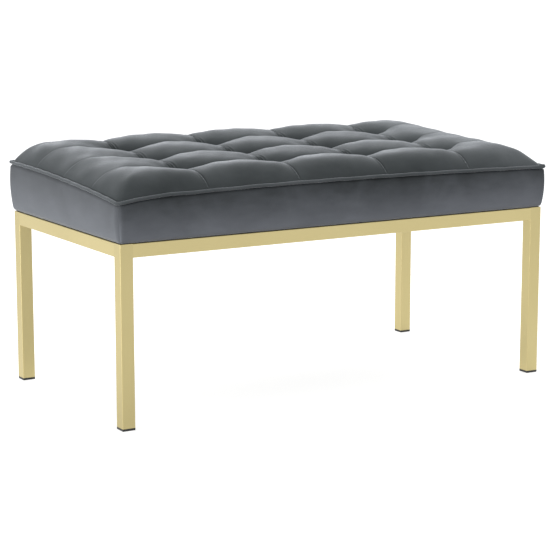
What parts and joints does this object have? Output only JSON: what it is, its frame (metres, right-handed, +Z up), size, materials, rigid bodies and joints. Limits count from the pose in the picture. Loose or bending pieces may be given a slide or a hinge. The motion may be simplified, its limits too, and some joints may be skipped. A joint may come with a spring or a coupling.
{
  "type": "upholstered bench",
  "caption": "Backless bench with a crowned, button-tufted velvet cushion, a welted edge and a square-tube steel frame on straight legs.",
  "frame": {"origin": "On the floor, under the middle of the bench.", "axes": "+X along the bench's length, to the right as seen from its front; -Y is the front; +Z is up."},
  "size_m": [0.938, 0.494, 0.4727],
  "materials": {
    "gold_steel": "satin",
    "black_plastic": "matte",
    "zinc_steel": "satin",
    "plywood": "matte",
    "dust_cloth": "matte",
    "velvet": "matte",
    "wadding": "matte",
    "foam": "matte",
    "twine": "matte"
  },
  "bodies": {
    "root": {"leg_front_left": "gold_steel", "leg_front_right": "gold_steel", "leg_back_right": "gold_steel", "leg_back_left": "gold_steel", "rail_front": "gold_steel", "rail_back": "gold_steel", "rail_left": "gold_steel", "rail_right": "gold_steel", "corner_plate_front_left": "gold_steel", "corner_plate_front_right": "gold_steel", "corner_plate_back_right": "gold_steel", "corner_plate_back_left": "gold_steel", "middle_tab_front": "gold_steel", "middle_tab_back": "gold_steel", "glide_front_left": "black_plastic", "glide_front_right": "black_plastic", "glide_back_right": "black_plastic", "glide_back_left": "black_plastic", "seat_bolts": "zinc_steel", "seat_washers": "zinc_steel", "tee_nuts": "zinc_steel", "staples": "zinc_steel", "tuft_anchors": "zinc_steel", "seat_board": "plywood", "dust_cover": "dust_cloth", "welt_cord": "velvet", "top_cover": "velvet", "side_band_front": "velvet", "side_band_back": "velvet", "side_band_left": "velvet", "side_band_right": "velvet", "tuft_button_1_1": "velvet", "tuft_button_1_2": "velvet", "tuft_button_1_3": "velvet", "tuft_button_1_4": "velvet", "tuft_button_2_1": "velvet", "tuft_button_2_2": "velvet", "tuft_button_2_3": "velvet", "tuft_button_2_4": "velvet", "tuft_button_3_1": "velvet", "tuft_button_3_2": "velvet", "tuft_button_3_3": "velvet", "tuft_button_3_4": "velvet", "side_wadding": "wadding", "foam_core": "foam", "tuft_twines": "twine"}
  },
  "joints": []
}
